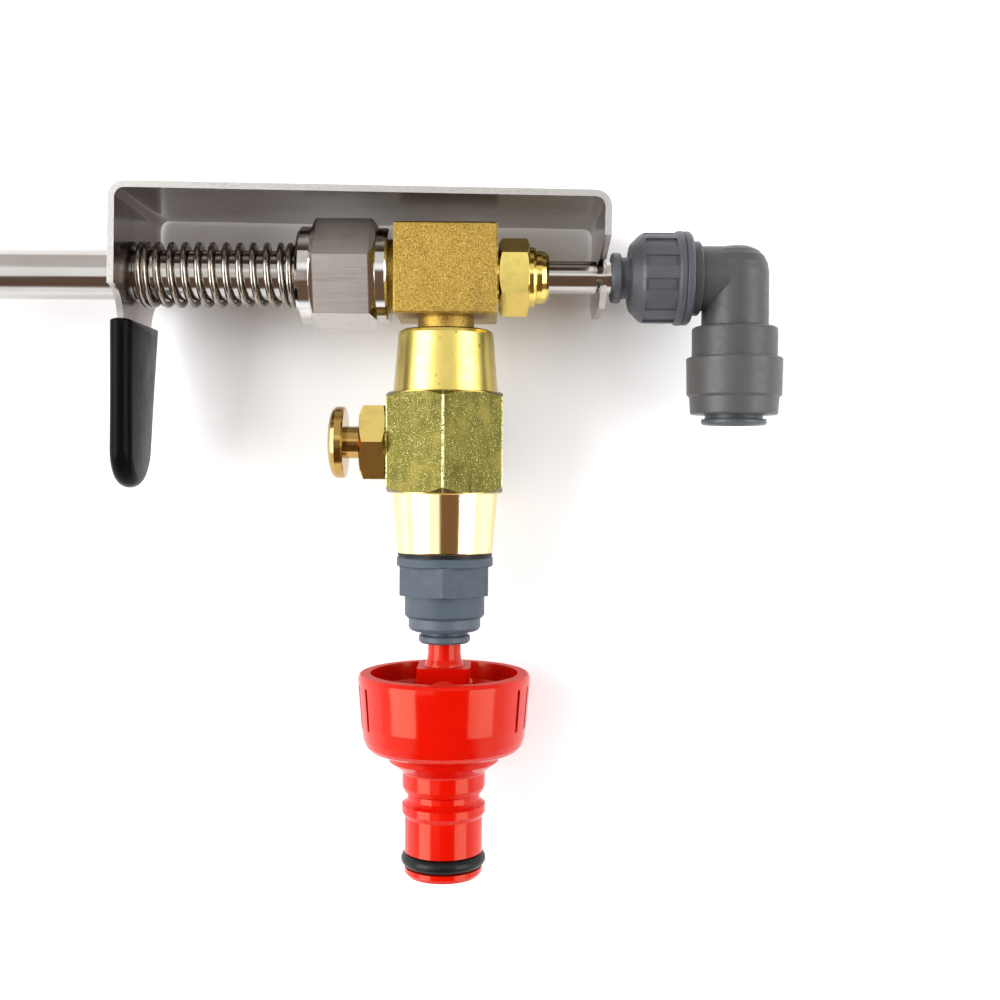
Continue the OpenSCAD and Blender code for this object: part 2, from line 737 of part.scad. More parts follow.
// Release collet of the elbow's inlet
module inlet_collet() at_handle() color(grey_plastic) {
    translate([70, 0, 0]) facing_tip()
        collet(inner_r + run, 3.98, 4.8, 4.6, 31.4, 33.8, 36.6, 38.4);
}

// Gripping teeth in the inlet's collet
module inlet_teeth() at_handle() color(steel) {
    translate([70, 0, 0]) facing_tip() teeth(inner_r + run, 31.4);
}

// Retaining cap of the elbow's leg
module outlet_cap() at_handle() translate([elbow_x, 0, 0]) color(grey_plastic) {
    turned_down([
        [7.45, leg_joint + 0.05], [9.05, leg_joint + 0.05], [9.23, leg_joint + 0.3], [9.1, 22.3],
        [8.6, 22.8], [8.4, 25.8], [8.2, leg_end], [5.75, leg_end], [5.75, 24.4], [6.95, 20.35],
        [7.45, 20.35]
    ]);
}

// Seal of the elbow's leg
module outlet_seal() at_handle() translate([elbow_x, 0, 0]) color(rubber) {
    ring_down(5.6, 0.75, 18.85);
}

// Release collet of the elbow's leg
module outlet_collet() at_handle() translate([elbow_x, 0, 0]) color(grey_plastic) {
    collet(supply_r, 5.55, 6.3, 6.5, 21, 24.6, outlet_lip, outlet_end);
}

// Gripping teeth in the leg's collet
module outlet_teeth() at_handle() translate([elbow_x, 0, 0]) color(steel) {
    teeth(supply_r, 21);
}

wand_tube();
tip_stopper();
stopper_pin();
tube_nut();
tube_ferrule();
tee_block();
gland_nut();
packing_ring();
gland_wiper();
valve_body();
valve_bonnet();
bonnet_seal();
valve_seat();
valve_button();
poppet_disc();
poppet_washer();
valve_spring();
seal_washer();
hose_fitting();
fitting_cap();
fitting_seal();
fitting_collet();
fitting_teeth();
hose_adapter();
tap_washer();
adapter_stem();
stem_seal();
spigot_o_ring();
trigger_spring();
bracket();
lever_grip();
inner_tube();
elbow_body();
elbow_cap();
inlet_seal();
inlet_collet();
inlet_teeth();
outlet_cap();
outlet_seal();
outlet_collet();
outlet_teeth();
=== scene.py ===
import math
import bpy
from mathutils import Matrix, Vector


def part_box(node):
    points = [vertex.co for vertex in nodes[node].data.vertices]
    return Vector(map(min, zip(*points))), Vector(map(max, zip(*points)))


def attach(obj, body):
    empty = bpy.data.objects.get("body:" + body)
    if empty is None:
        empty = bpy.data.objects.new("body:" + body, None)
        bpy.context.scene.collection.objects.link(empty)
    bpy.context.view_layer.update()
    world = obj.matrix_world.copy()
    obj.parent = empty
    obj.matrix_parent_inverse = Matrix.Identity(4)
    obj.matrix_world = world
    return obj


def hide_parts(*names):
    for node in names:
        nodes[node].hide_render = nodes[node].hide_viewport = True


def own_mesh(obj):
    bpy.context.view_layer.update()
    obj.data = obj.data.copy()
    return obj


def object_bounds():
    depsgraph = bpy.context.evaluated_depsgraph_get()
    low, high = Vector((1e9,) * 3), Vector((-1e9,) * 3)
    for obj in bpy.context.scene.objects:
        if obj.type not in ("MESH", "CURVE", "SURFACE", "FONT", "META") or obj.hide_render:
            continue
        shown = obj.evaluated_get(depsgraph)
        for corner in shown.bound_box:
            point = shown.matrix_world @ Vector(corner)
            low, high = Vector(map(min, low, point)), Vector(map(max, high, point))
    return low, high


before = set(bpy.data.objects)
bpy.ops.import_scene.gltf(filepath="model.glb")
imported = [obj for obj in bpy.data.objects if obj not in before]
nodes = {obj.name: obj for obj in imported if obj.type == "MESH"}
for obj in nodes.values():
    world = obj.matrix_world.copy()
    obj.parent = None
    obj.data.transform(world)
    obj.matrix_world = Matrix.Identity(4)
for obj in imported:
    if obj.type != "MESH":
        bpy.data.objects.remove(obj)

cad_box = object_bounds()
scene = bpy.context.scene
MM = 0.001

# The handle's axis, from the seal washer's box; the wand's axis is y = 0, z = 0.
f_lo, f_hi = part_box("seal_washer")
HX = (f_lo[0] + f_hi[0]) / 2
FLOOR = cad_box[0][2]

# Where a surface's finish changes, in metres and close to the CAD's own edges: the ends of the tube nut's
# flats along X and of the valve body's hexagon along Y. EDGE is half the width of the change.
FLATS_FROM, FLATS_TO = HX - 0.0245, HX - 0.0141
HEX_FOOT, HEX_TOP = -0.0414, -0.0224
EDGE = 0.0002


def add(name, data):
    obj = bpy.data.objects.new(name, data)
    scene.collection.objects.link(obj)
    return obj


def calculate(tree, op, a, b=0):
    """One math node, on numbers or sockets."""
    node = tree.nodes.new("ShaderNodeMath")
    node.operation = op
    for socket, value in zip(node.inputs, (a, b)):
        if isinstance(value, (int, float)):
            socket.default_value = value
        else:
            tree.links.new(value, socket)
    return node.outputs[0]


# ------------------------------------------------------------------ materials

class Shader:
    """A Principled material with helpers for procedural detail in object space."""

    def __init__(self, name, base, rough, metal=0.0, **sockets):
        self.mat = bpy.data.materials.new(name)
        self.mat.use_nodes = True
        self.mat.diffuse_color = (*base, 1)
        self.tree = self.mat.node_tree
        self.bsdf = self.tree.nodes["Principled BSDF"]
        self.bsdf.inputs["Base Color"].default_value = (*base, 1)
        self.bsdf.inputs["Roughness"].default_value = rough
        self.bsdf.inputs["Metallic"].default_value = metal
        for key, value in sockets.items():
            self.bsdf.inputs[key.replace("_", " ")].default_value = value
        self.coord = self.new("ShaderNodeTexCoord")
        self.height = None

    def new(self, kind, **props):
        node = self.tree.nodes.new(kind)
        for key, value in props.items():
            setattr(node, key, value)
        return node

    def link(self, a, b):
        self.tree.links.new(a, b)

    def millimetres(self, stretch, offset):
        """Object coordinates in millimetres, times stretch and moved by offset."""
        mapping = self.new("ShaderNodeMapping")
        mapping.inputs["Scale"].default_value = tuple(s / MM for s in stretch)
        mapping.inputs["Location"].default_value = offset
        self.link(self.coord.outputs["Object"], mapping.inputs["Vector"])
        return mapping.outputs[0]

    def noise(self, scale, detail=4.0, rough=0.6, stretch=(1, 1, 1), offset=(0, 0, 0)):
        """Noise with about `scale` cells to the millimetre, drawn out along the small axes of `stretch`."""
        node = self.new("ShaderNodeTexNoise")
        node.inputs["Scale"].default_value = scale
        node.inputs["Detail"].default_value = detail
        node.inputs["Roughness"].default_value = rough
        self.link(self.millimetres(stretch, offset), node.inputs["Vector"])
        return node.outputs["Fac"]

    def spots(self, scale, low, high, offset):
        """Small round spots at random places: 1 in the middle of each and 0 outside."""
        node = self.new("ShaderNodeTexVoronoi")
        node.inputs["Scale"].default_value = scale
        self.link(self.millimetres((1, 1, 1), offset), node.inputs["Vector"])
        return self.ramp(node.outputs["Distance"], high, low)

    def ramp(self, value, low, high):
        """0 below low and 1 above high; with low above high it runs the other way."""
        node = self.new("ShaderNodeMapRange", clamp=True)
        node.inputs["From Min"].default_value = low
        node.inputs["From Max"].default_value = high
        self.link(value, node.inputs["Value"])
        return node.outputs[0]

    def math(self, op, a, b=0):
        return calculate(self.tree, op, a, b)

    def both(self, a, b):
        return self.math("MULTIPLY", a, b)

    def axis(self, name, normal=False):
        """One coordinate of the surface point, or of its normal, in object space."""
        split = self.new("ShaderNodeSeparateXYZ")
        self.link(self.coord.outputs["Normal" if normal else "Object"], split.inputs[0])
        return split.outputs[name]

    def tint(self, fac, color, amount=1.0):
        """Mixes a colour in where fac is 1."""
        mix = self.new("ShaderNodeMix", data_type="RGBA")
        base = self.bsdf.inputs["Base Color"]
        if base.is_linked:
            self.link(base.links[0].from_socket, mix.inputs[6])
        else:
            mix.inputs[6].default_value = base.default_value
        mix.inputs[7].default_value = (*color, 1)
        self.link(self.both(fac, amount), mix.inputs[0])
        self.link(mix.outputs[2], base)

    def rough(self, fac, value):
        """Moves the roughness to a value where fac is 1."""
        mix = self.new("ShaderNodeMix", data_type="FLOAT")
        base = self.bsdf.inputs["Roughness"]
        if base.is_linked:
            self.link(base.links[0].from_socket, mix.inputs[2])
        else:
            mix.inputs[2].default_value = base.default_value
        mix.inputs[3].default_value = value
        self.link(fac, mix.inputs[0])
        self.link(mix.outputs[0], base)

    def bump(self, fac, depth_mm, strength=1.0):
        """Raises the surface by depth where fac is 1. Calls stack."""
        node = self.new("ShaderNodeBump")
        node.inputs["Distance"].default_value = depth_mm * MM
        node.inputs["Strength"].default_value = strength
        self.link(fac, node.inputs["Height"])
        if self.height is not None:
            self.link(self.height, node.inputs["Normal"])
        self.height = node.outputs[0]
        self.link(self.height, self.bsdf.inputs["Normal"])


def times(factor, color):
    return tuple(min(1, factor * c) for c in color)


def steel_tube(name, seed):
    s = Shader(name, (0.47, 0.448, 0.42), 0.10, 1.0)
    drawn = s.noise(1.6, 5, 0.65, (0.02, 1, 1), (seed, 0, 0))
    s.rough(s.ramp(drawn, 0.35, 0.7), 0.17)
    clouds = s.ramp(s.noise(0.12, 3, 0.6, (0.3, 1, 1), (0, seed, 0)), 0.45, 0.75)
    s.tint(clouds, (0.37, 0.34, 0.305), 0.7)
    s.bump(drawn, 0.006)
    s.tint(s.spots(1.1, 0.03, 0.09, (seed, 3, 1)), (0.30, 0.28, 0.25), 0.5)
    return s.mat


def steel_nut():
    """Brushed flats between two polished collars."""
    s = Shader("nut_steel", (0.60, 0.58, 0.555), 0.09, 1.0)
    x = s.axis("X")
    flats = s.both(s.ramp(x, FLATS_FROM - EDGE, FLATS_FROM + EDGE),
                   s.ramp(x, FLATS_TO + EDGE, FLATS_TO - EDGE))
    brush = s.noise(3.0, 4, 0.6, (0.03, 1, 1))
    s.rough(s.both(flats, s.ramp(brush, 0.0, 0.4)), 0.38)
    s.tint(s.ramp(s.noise(0.22, 4, 0.65), 0.5, 0.72), (0.42, 0.39, 0.36), 0.45)
    s.tint(s.both(flats, s.spots(1.4, 0.05, 0.16, (4, 1, 7))), (0.78, 0.77, 0.75), 0.6)
    s.tint(s.both(flats, s.ramp(brush, 0.42, 0.62)), (0.72, 0.70, 0.68), 0.6)
    s.bump(s.noise(9.0, 2, 0.5, (1, 0.02, 0.02)), 0.004, 0.6)
    s.bump(s.both(brush, flats), 0.014)
    return s.mat


def sheet_steel():
    """Brushed and stained faces; the cut edges, which face +Z and -Z, are paler and grainy."""
    s = Shader("bracket_steel", (0.39, 0.355, 0.335), 0.12, 1.0)
    brush = s.noise(2.6, 5, 0.65, (0.025, 1, 1))
    cut = s.ramp(s.math("ABSOLUTE", s.axis("Z", True)), 0.55, 0.8)
    stain = s.ramp(s.noise(0.10, 5, 0.62, (0.6, 1, 1), (2, 5, 1)), 0.42, 0.74)
    s.tint(stain, (0.24, 0.20, 0.175), 0.85)
    s.tint(s.spots(0.55, 0.04, 0.13, (5, 2, 8)), (0.30, 0.26, 0.22), 0.35)
    s.tint(cut, (0.43, 0.415, 0.395))
    grain = s.noise(3.2, 3, 0.7)
    s.tint(s.both(cut, s.ramp(grain, 0.54, 0.64)), (0.22, 0.205, 0.19), 0.7)
    s.rough(s.ramp(brush, 0.3, 0.75), 0.24)
    s.rough(cut, 0.50)
    s.bump(brush, 0.012)
    s.bump(s.both(cut, grain), 0.05)
    return s.mat


def spring_steel():
    s = Shader("spring_wire", (0.34, 0.305, 0.265), 0.16, 1.0)
    s.tint(s.ramp(s.noise(0.5, 4, 0.6), 0.45, 0.7), (0.24, 0.205, 0.175), 0.55)
    s.rough(s.ramp(s.noise(1.2, 3, 0.6), 0.4, 0.7), 0.30)
    s.bump(s.noise(5.0, 3, 0.6), 0.005)
    return s.mat


def block_brass():
    """Matte speckled brass, darker and blotchy towards the corner between the gland nut and the valve."""
    s = Shader("block_brass", (0.41, 0.265, 0.052), 0.34, 1.0)
    clouds = s.ramp(s.noise(0.22, 5, 0.6, offset=(1, 2, 3)), 0.45, 0.72)
    s.tint(clouds, (0.30, 0.188, 0.037), 0.6)
    corner = s.both(s.ramp(s.axis("X"), HX - 0.001, HX + 0.009), s.ramp(s.axis("Y"), 0.000, -0.008))
    blotch = s.ramp(s.noise(0.5, 5, 0.7, offset=(7, 1, 0)), 0.42, 0.62)
    s.tint(s.both(corner, blotch), (0.125, 0.085, 0.035), 0.75)
    s.tint(s.spots(0.75, 0.05, 0.15, (1, 9, 2)), (0.14, 0.09, 0.03), 0.5)
    grain = s.noise(4.4, 3, 0.7, (1, 0.6, 1))
    s.tint(s.ramp(grain, 0.53, 0.64), (0.66, 0.50, 0.19), 0.6)
    s.tint(s.ramp(grain, 0.48, 0.38), (0.135, 0.08, 0.017), 0.7)
    s.rough(s.ramp(grain, 0.35, 0.65), 0.46)
    s.bump(grain, 0.07)
    return s.mat


def bright_brass(name, base, seed):
    """Polished brass turned about the X axis."""
    s = Shader(name, base, 0.10, 1.0)
    clouds = s.ramp(s.noise(0.35, 4, 0.6, offset=(seed, 0, 2)), 0.48, 0.72)
    s.tint(clouds, times(0.72, base), 0.5)
    lines = s.noise(6.0, 3, 0.6, (1, 0.03, 0.03), (seed, seed, 0))
    s.rough(s.ramp(lines, 0.35, 0.7), 0.17)
    s.bump(lines, 0.006)
    s.tint(s.spots(1.2, 0.04, 0.11, (seed, 4, 4)), (0.28, 0.17, 0.06), 0.5)
    return s.mat


def valve_brass():
    """Pale turned cone above, raw drawn hexagon in the middle and a polished cone below."""
    s = Shader("valve_brass", (0.61, 0.48, 0.125), 0.18, 1.0)
    y = s.axis("Y")
    below = s.ramp(y, HEX_FOOT + EDGE, HEX_FOOT - EDGE)
    above = s.ramp(y, HEX_TOP - EDGE, HEX_TOP + EDGE)
    not_below = s.math("SUBTRACT", 1.0, below)
    hexed = s.both(s.ramp(y, HEX_TOP + EDGE, HEX_TOP - EDGE), not_below)
    s.tint(hexed, (0.084, 0.074, 0.0155))
    s.tint(below, (0.93, 0.75, 0.39))
    speck = s.noise(4.2, 3, 0.75, offset=(3, 1, 2))
    s.tint(s.both(hexed, s.ramp(speck, 0.585, 0.65)), (0.62, 0.57, 0.26), 0.85)
    dark = s.ramp(s.noise(0.35, 4, 0.6, (1, 0.4, 1)), 0.5, 0.7)
    s.tint(s.both(hexed, dark), (0.040, 0.038, 0.008), 0.8)
    bare = s.ramp(s.noise(0.28, 5, 0.65, (1, 0.5, 1), (5, 2, 0)), 0.50, 0.68)
    s.tint(s.both(hexed, bare), (0.165, 0.135, 0.032), 0.8)
    # Worn corners with a painted edge highlight: the cosine of six times the angle about the handle is -1 at
    # each of them
    turn = s.math("ARCTAN2", s.axis("Z"), s.math("SUBTRACT", s.axis("X"), HX))
    corner = s.ramp(s.math("COSINE", s.both(turn, 6.0)), -0.988, -0.9985)
    worn_and_highlight = s.both(corner, s.ramp(s.noise(2.0, 4, 0.7), 0.40, 0.52))
    s.tint(s.both(hexed, worn_and_highlight), (0.62, 0.55, 0.27), 0.8)
    pits = s.spots(0.42, 0.05, 0.17, (2, 2, 6))
    s.tint(s.both(pits, not_below), (0.20, 0.14, 0.045), 0.7)
    rust = s.ramp(s.noise(1.1, 5, 0.75, (1, 0.5, 1), (4, 4, 0)), 0.60, 0.68)
    s.tint(s.both(below, rust), (0.36, 0.21, 0.07), 0.55)
    clouds = s.ramp(s.noise(0.3, 4, 0.6, offset=(0, 4, 1)), 0.5, 0.7)
    s.tint(s.both(above, clouds), (0.70, 0.54, 0.24), 0.5)
    s.rough(above, 0.27)
    s.rough(s.both(hexed, s.ramp(speck, 0.2, 0.6)), 0.38)
    s.rough(below, 0.09)
    lathe = s.noise(5.0, 4, 0.6, (0.02, 1, 0.02))
    s.bump(s.both(lathe, s.math("SUBTRACT", 1.0, hexed)), 0.007)
    s.bump(s.both(hexed, speck), 0.09)
    return s.mat


def moulded(name, base, rough, grain_mm, seed, darker=0.75, cells=3.4):
    """Satin moulded plastic with a fine spark-eroded grain and slight scuffs."""
    s = Shader(name, base, rough, IOR=1.5, Specular_IOR_Level=0.35)
    clouds = s.ramp(s.noise(0.16, 4, 0.6, offset=(seed, 1, 0)), 0.4, 0.75)
    s.tint(clouds, times(darker, base), 0.5)
    grain = s.noise(cells, 4, 0.65, offset=(seed, 0, 0))
    s.tint(s.ramp(grain, 0.55, 0.75), times(1.35, base), 0.35)
    s.rough(s.ramp(s.noise(0.8, 4, 0.6, offset=(0, seed, 3)), 0.4, 0.7), rough + 0.14)
    s.bump(grain, grain_mm)
    return s.mat


def red_plastic():
    """Glossy, and matter where it faces up the handle, as on the cup's rim."""
    s = Shader("red_plastic", (0.49, 0.0036, 0.0006), 0.11, IOR=1.36, Specular_IOR_Level=0.42,
               Specular_Tint=(1.0, 0.80, 0.45, 1), Coat_Weight=0.08, Coat_Roughness=0.04,
               Subsurface_Weight=0.14, Subsurface_Radius=(0.003, 0.0006, 0.0002))
    s.tint(s.ramp(s.noise(0.07, 3, 0.5), 0.4, 0.75), (0.44, 0.0024, 0.0004), 0.6)
    s.tint(s.spots(0.5, 0.02, 0.05, (8, 1, 1)), (0.30, 0.008, 0.004), 0.4)
    s.rough(s.ramp(s.noise(0.5, 4, 0.6, offset=(1, 4, 2)), 0.5, 0.75), 0.22)
    s.rough(s.ramp(s.axis("Y", True), 0.75, 0.95), 0.60)
    s.bump(s.noise(0.35, 3, 0.5), 0.018)
    return s.mat


def black_rubber(name, rough):
    s = Shader(name, (0.006, 0.006, 0.0065), rough, IOR=1.5, Specular_IOR_Level=0.16)
    s.tint(s.ramp(s.noise(0.5, 5, 0.65), 0.5, 0.75), (0.016, 0.0155, 0.0155), 0.6)
    s.rough(s.ramp(s.noise(1.2, 4, 0.6), 0.4, 0.7), rough + 0.15)
    s.bump(s.noise(2.8, 4, 0.6), 0.012)
    return s.mat


def dipped_vinyl():
    s = Shader("dipped_vinyl", (0.0026, 0.0026, 0.0032), 0.20, IOR=1.40, Specular_IOR_Level=0.05)
    s.rough(s.ramp(s.noise(0.3, 5, 0.6), 0.45, 0.75), 0.33)
    s.tint(s.spots(0.8, 0.03, 0.07, (3, 3, 3)), (0.05, 0.05, 0.05), 0.5)
    s.bump(s.noise(0.22, 3, 0.5, (1, 0.6, 1)), 0.08)
    s.bump(s.noise(2.0, 3, 0.6), 0.006)
    return s.mat


YELLOW = (0.78, 0.61, 0.165)
LOOK = {
    "wand_tube": steel_tube("wand_steel", 0.0),
    "inner_tube": steel_tube("inner_steel", 5.0),
    "stopper_pin": steel_tube("small_steel", 9.0),
    "tube_nut": steel_nut(),
    "bracket": sheet_steel(),
    "tee_block": block_brass(),
    "valve_body": valve_brass(),
    "gland_nut": bright_brass("gland_brass", YELLOW, 1.0),
    "valve_bonnet": bright_brass("bonnet_brass", (0.84, 0.64, 0.20), 3.0),
    "valve_button": bright_brass("button_brass", (0.46, 0.29, 0.085), 6.0),
    "tube_ferrule": bright_brass("inner_brass", YELLOW, 8.0),
    "hose_fitting": moulded("hose_fitting_plastic", (0.045, 0.063, 0.083), 0.44, 0.16, 1.0, 0.7, 2.2),
    "fitting_cap": moulded("hose_cap_plastic", (0.062, 0.083, 0.105), 0.40, 0.016, 2.0),
    "fitting_collet": moulded("hose_collet_plastic", (0.055, 0.075, 0.096), 0.36, 0.008, 3.0),
    "outlet_collet": moulded("fitting_dark", (0.050, 0.060, 0.070), 0.34, 0.010, 4.0),
    "elbow_body": moulded("elbow_plastic", (0.047, 0.047, 0.049), 0.36, 0.012, 5.0, 0.85),
    "elbow_cap": moulded("elbow_cap_plastic", (0.056, 0.060, 0.070), 0.36, 0.012, 6.0),
    "outlet_cap": moulded("outlet_cap_plastic", (0.056, 0.054, 0.055), 0.35, 0.012, 7.0, 0.85),
    "inlet_collet": moulded("inlet_collet_plastic", (0.074, 0.080, 0.092), 0.34, 0.008, 8.0),
    "packing_ring": moulded("packing_plastic", (0.72, 0.72, 0.70), 0.45, 0.01, 9.0),
    "hose_adapter": red_plastic(),
    "seal_washer": black_rubber("black_rubber", 0.38),
    "spigot_o_ring": black_rubber("o_ring_rubber", 0.26),
}
SAME_AS = {
    "hose_adapter": ("adapter_stem",),
    "tube_ferrule": ("valve_seat", "poppet_washer"),
    "stopper_pin": ("fitting_teeth", "inlet_teeth", "outlet_teeth"),
    "seal_washer": ("tip_stopper", "tap_washer", "gland_wiper", "bonnet_seal", "stem_seal",
                    "fitting_seal", "inlet_seal", "outlet_seal", "poppet_disc"),
}
for source, names in SAME_AS.items():
    for name in names:
        LOOK[name] = LOOK[source]


def paint(obj, material):
    if not obj.material_slots:
        obj.data.materials.append(material)
    for slot in obj.material_slots:
        slot.material = material


for name, material in LOOK.items():
    paint(nodes[name], material)


# Worn and moulded edges: a small round on each hard edge.
def soften(name, width_mm):
    bevel = nodes[name].modifiers.new("edge", "BEVEL")
    bevel.width = width_mm * MM
    bevel.segments = 3
    bevel.limit_method = "ANGLE"
    bevel.angle_limit = math.radians(28)
    bevel.use_clamp_overlap = True
    bevel.harden_normals = True
    bevel.miter_outer = "MITER_ARC"


for name, width in (
    ("bracket", 0.16), ("tube_nut", 0.14), ("tee_block", 0.12), ("gland_nut", 0.12),
    ("valve_body", 0.16), ("valve_bonnet", 0.12), ("valve_button", 0.18), ("hose_fitting", 0.14),
    ("fitting_cap", 0.10), ("elbow_body", 0.18), ("elbow_cap", 0.14), ("outlet_cap", 0.16),
    ("hose_adapter", 0.18), ("adapter_stem", 0.14), ("fitting_collet", 0.08),
    ("outlet_collet", 0.10), ("inlet_collet", 0.08),
):
    soften(name, width)


# ------------------------------------------------------------------ pieces

def mesh_object(name, verts, faces, material):
    mesh = bpy.data.meshes.new(name)
    mesh.from_pydata(verts, [], faces)
    mesh.validate()
    mesh.polygons.foreach_set("use_smooth", [True] * len(mesh.polygons))
    mesh.materials.append(material)
    return add(name, mesh)


def coil(name, x0, length, mean_r, wire_r, closed, opened, material):
    """A round-wire compression spring along X: open turns between closed ones, the wire cut square."""
    sides, per_turn = 14, 44
    turns = 2 * closed + opened
    step = 2 * wire_r * 1.02    # the closed turns lie a hair apart
    pitch = (length - 2 * wire_r - 2 * closed * step) / opened

    def station(t):
        """How far along X the wire has come after t turns."""
        if t < closed:
            return t * step
        if t < closed + opened:
            return closed * step + (t - closed) * pitch
        return closed * step + opened * pitch + (t - closed - opened) * step

    last = round(turns * per_turn)
    near = 0.01    # turns to either side, for the slope
    verts, faces = [], []
    for i in range(last + 1):
        t = i / per_turn
        a = 2 * math.pi * t
        slope = (station(min(turns, t + near)) - station(max(0, t - near))) / (2 * near * 2 * math.pi)
        centre = Vector((x0 + wire_r + station(t), 0, 0))
        radial = Vector((0, math.cos(a), math.sin(a)))
        along = Vector((slope, -mean_r * math.sin(a), mean_r * math.cos(a))).normalized()
        across = along.cross(radial).normalized()
        for k in range(sides):
            b = 2 * math.pi * k / sides
            verts.append(centre + radial * (mean_r + wire_r * math.cos(b)) + across * (wire_r * math.sin(b)))
    for i in range(last):
        for k in range(sides):
            a, b = i * sides + k, i * sides + (k + 1) % sides
            faces.append((a, b, b + sides, a + sides))
    faces.append(tuple(reversed(range(sides))))
    faces.append(tuple(last * sides + k for k in range(sides)))
    return mesh_object(name, verts, faces, material)


# Trigger spring: fills its CAD node's span
WIRE = 0.00058
s_lo, s_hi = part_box("trigger_spring")
spring = coil("trigger_coil", s_lo[0], s_hi[0] - s_lo[0], (s_hi[2] - s_lo[2]) / 2 - WIRE, WIRE,
              1.5, 10.0, spring_steel())
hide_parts("trigger_spring")
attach(spring, "spring")
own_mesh(spring)

# The button's spring, hidden in the bonnet and the valve body
b_lo, b_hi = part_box("valve_spring")
drop = (b_lo[1] + b_hi[1]) / 2
inner_coil = coil("button_coil", b_lo[0], b_hi[0] - b_lo[0], 0.0024, 0.00025,
                  1.0, 4.0, spring.data.materials[0])
for vertex in inner_coil.data.vertices:
    vertex.co.y += drop
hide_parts("valve_spring")
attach(inner_coil, "valve")
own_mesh(inner_coil)


def grip_outline(top, top_w, end_c, end_r):
    """The core's outline, from the round end up one side, over the top and back down: y, z, ny, nz."""
    bulge = 0.3    # the top edge stands out by this share of half the sleeve's thickness
    outline = []
    for i in range(25):
        a = math.pi * i / 24
        outline.append((end_c - end_r * math.sin(a), end_r * math.cos(a), -math.sin(a), math.cos(a)))
    for i in range(1, 15):
        t = i / 15
        outline.append((end_c + (top - end_c) * t, -(end_r + (top_w - end_r) * t), 0.0, -1.0))
    for i in range(9):
        a = math.pi / 2 * i / 8
        outline.append((top, -top_w, bulge * math.sin(a), -math.cos(a)))
    for i in range(1, 12):
        outline.append((top, -top_w + 2 * top_w * i / 12, bulge, 0.0))
    for i in range(9):
        a = math.pi / 2 * i / 8
        outline.append((top, top_w, bulge * math.cos(a), math.sin(a)))
    for i in range(1, 15):
        t = i / 15
        outline.append((top + (end_c - top) * t, top_w + (end_r - top_w) * t, 0.0, 1.0))
    return outline


def dipped_grip():
    """Vinyl sleeve: a round-edged blade, thicker towards the tip, where the dip has run down."""
    bead, rings = 2.1, 13
    outline = grip_outline(-10.6, 8.55, -33.4, 6.2)
    count = len(outline)
    verts, faces = [], []
    for j in range(rings):
        phi = math.pi * (j / (rings - 1) - 0.5)
        for y, z, ny, nz in outline:
            swell = 1 + 0.05 * max(0.0, (-y - 26) / 12)
            verts.append((bead * swell * math.sin(phi),
                          y + ny * bead * math.cos(phi), z + nz * bead * math.cos(phi)))
    for j in range(rings - 1):
        for i in range(count):
            a, b = j * count + i, j * count + (i + 1) % count
            faces.append((a, a + count, b + count, b))
    faces.append(tuple(range(count)))
    faces.append(tuple((rings - 1) * count + i for i in reversed(range(count))))

    # As in the CAD: the lever leans out from its root and the whole bracket slopes with its plate
    blade_x = -59.7
    root = Vector((blade_x, -11.5, 0))
    slope = Matrix.Rotation(math.radians(-0.7), 3, "Z")
    lean = Matrix.Rotation(math.radians(-1.3), 3, "Z")
    moved = []
    for x, y, z in verts:
        p = slope @ (root + lean @ (Vector((blade_x + x, y, z)) - root))
        moved.append((HX + p.x * MM, p.y * MM, p.z * MM))
    return mesh_object("dipped_grip", moved, faces, dipped_vinyl())


grip = dipped_grip()
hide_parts("lever_grip")
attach(grip, "trigger")


# ------------------------------------------------------------------ camera, floor and lights

def camera():
    """The photograph's camera, from what was read off the 1000 pixel picture. Lengths in mm."""
    picture = 1000
    focal = 1250.0      # in pixels
    distance = 240.4    # to the point where the handle's axis crosses the wand's

    def behind(px, py, depth=1.0):
        """The point behind a pixel at a depth: right, down and into the picture."""
        return Vector(((px - picture / 2) / focal * depth, (py - picture / 2) / focal * depth, depth))

    # The object's axes as the camera sees them: lines along -Z vanish at a pixel, X is the wand's direction
    ez = -behind(493, 465).normalized()
    ex = Vector((1.0, 0.0062, 0.0056))
    ex = (ex - ez * ex.dot(ez)).normalized()
    axes = Matrix((ex, ez.cross(ex), ez))
    place = -(axes @ behind(446.3, 277, distance))

    data = bpy.data.cameras.new("camera")
    data.sensor_width = 36.0
    data.lens = data.sensor_width * focal / picture
    data.clip_start = 0.005
    data.clip_end = 20.0
    obj = add("camera", data)
    world = (axes @ Matrix.Diagonal((1, -1, -1))).to_4x4()
    world.translation = Vector((HX + place.x * MM, place.y * MM, place.z * MM))
    obj.matrix_world = world
    scene.camera = obj


camera()

half = 3.0
mesh = bpy.data.meshes.new("floor")
mesh.from_pydata([(-half, -half, FLOOR), (half, -half, FLOOR), (half, half, FLOOR), (-half, half, FLOOR)],
                 [], [(0, 1, 2, 3)])
mesh.materials.append(Shader("white_table", (0.93, 0.93, 0.94), 0.55).mat)
floor = add("floor", mesh)


def window(name, place, power, color):
    """A rectangular area light of 95 by 62 cm, aimed at the middle of the object."""
    data = bpy.data.lights.new(name, "AREA")
    data.shape = "RECTANGLE"
    data.size, data.size_y = 0.95, 0.62
    data.energy = power
    data.color = color
    place = Vector(place)
    aim = Vector((HX, -0.04, 0)) - place
    add(name, data).matrix_world = (Matrix.Translation(place)
                                    @ aim.to_track_quat("-Z", "Y").to_matrix().to_4x4())


window("window_left", (HX - 0.72, 0.02, 0.52), 10.6, (0.99, 0.995, 1.0))
window("window_right", (HX + 0.74, -0.02, 0.55), 6.8, (0.985, 0.995, 1.0))

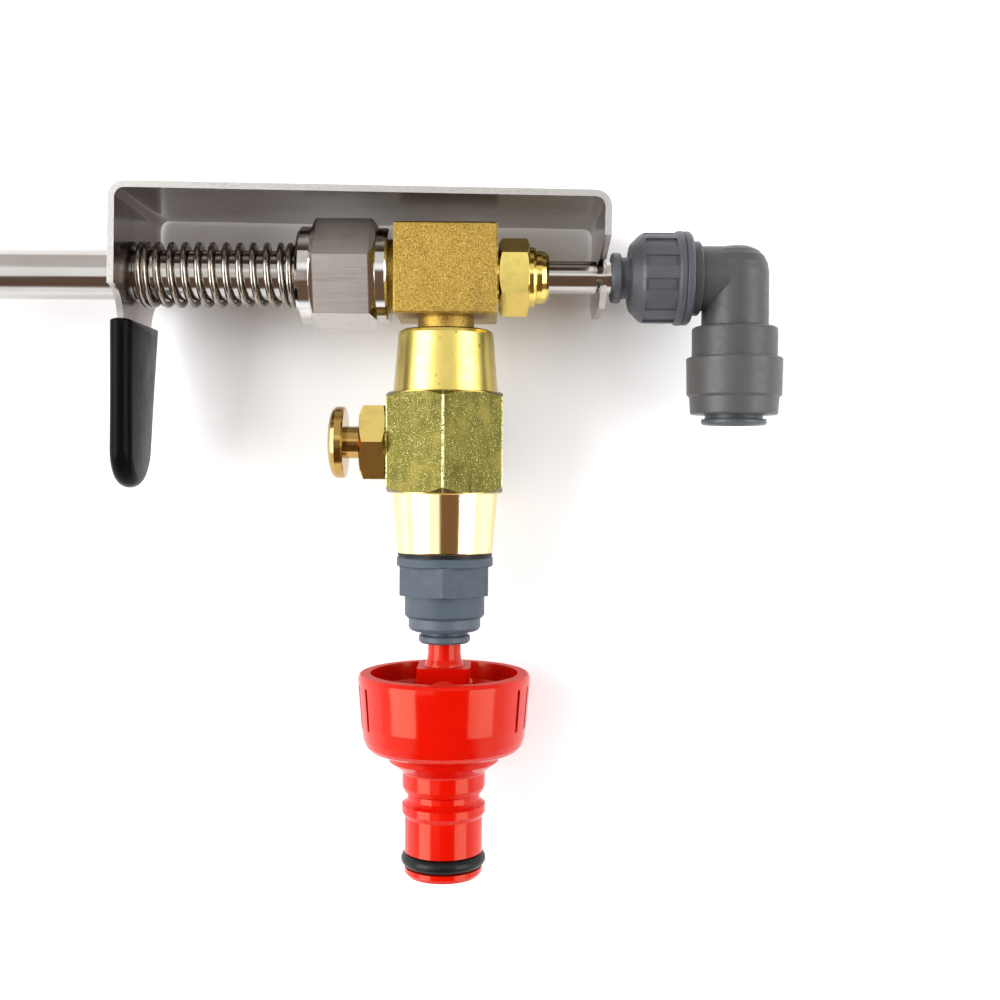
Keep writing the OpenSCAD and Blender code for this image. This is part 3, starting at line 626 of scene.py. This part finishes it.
world = bpy.data.worlds.new("room")
scene.world = world
world.use_nodes = True
tree = world.node_tree
coord = tree.nodes.new("ShaderNodeTexCoord")
split = tree.nodes.new("ShaderNodeSeparateXYZ")
tree.links.new(coord.outputs["Generated"], split.inputs[0])
x, y, z = (split.outputs[axis] for axis in "XYZ")


def grade(value, low, high):
    """0 below low and 1 above high, eased; with low above high it runs the other way."""
    node = tree.nodes.new("ShaderNodeMapRange")
    node.interpolation_type = "SMOOTHSTEP"
    node.inputs["From Min"].default_value = min(low, high)
    node.inputs["From Max"].default_value = max(low, high)
    node.inputs["To Min"].default_value = 0.0 if low < high else 1.0
    node.inputs["To Max"].default_value = 1.0 if low < high else 0.0
    tree.links.new(value, node.inputs["Value"])
    return node.outputs[0]


def around(middle, near, far):
    """1 where x is within near of the middle and 0 beyond far."""
    return grade(calculate(tree, "ABSOLUTE", calculate(tree, "SUBTRACT", x, middle)), far, near)


def layer(under, factor, color):
    """A colour over another, or over a socket, where factor is 1."""
    mix = tree.nodes.new("ShaderNodeMix")
    mix.data_type = "RGBA"
    tree.links.new(factor, mix.inputs[0])
    if isinstance(under, tuple):
        mix.inputs[6].default_value = (*under, 1)
    else:
        tree.links.new(under, mix.inputs[6])
    mix.inputs[7].default_value = (*color, 1)
    return mix.outputs[2]


# A white room with a buff far wall. Whoever leans over the table is a brown shape on the near side,
# with an arm that reaches over it right of straight above.
arm = calculate(tree, "MULTIPLY", around(0.20, 0.30, 0.46), grade(y, 0.22, 0.04))
body = calculate(tree, "MULTIPLY", around(0.05, 0.50, 0.75), grade(y, -0.22, -0.34))
person = calculate(tree, "MULTIPLY", calculate(tree, "MAXIMUM", arm, body), grade(z, 0.22, 0.42))
room = layer((1.50, 1.53, 1.58), grade(y, 0.30, 0.44), (0.92, 0.89, 0.86))
room = layer(room, person, (0.20, 0.12, 0.08))
background = tree.nodes["Background"]
tree.links.new(room, background.inputs["Color"])
background.inputs["Strength"].default_value = 1.0

scene.view_settings.view_transform = "Standard"
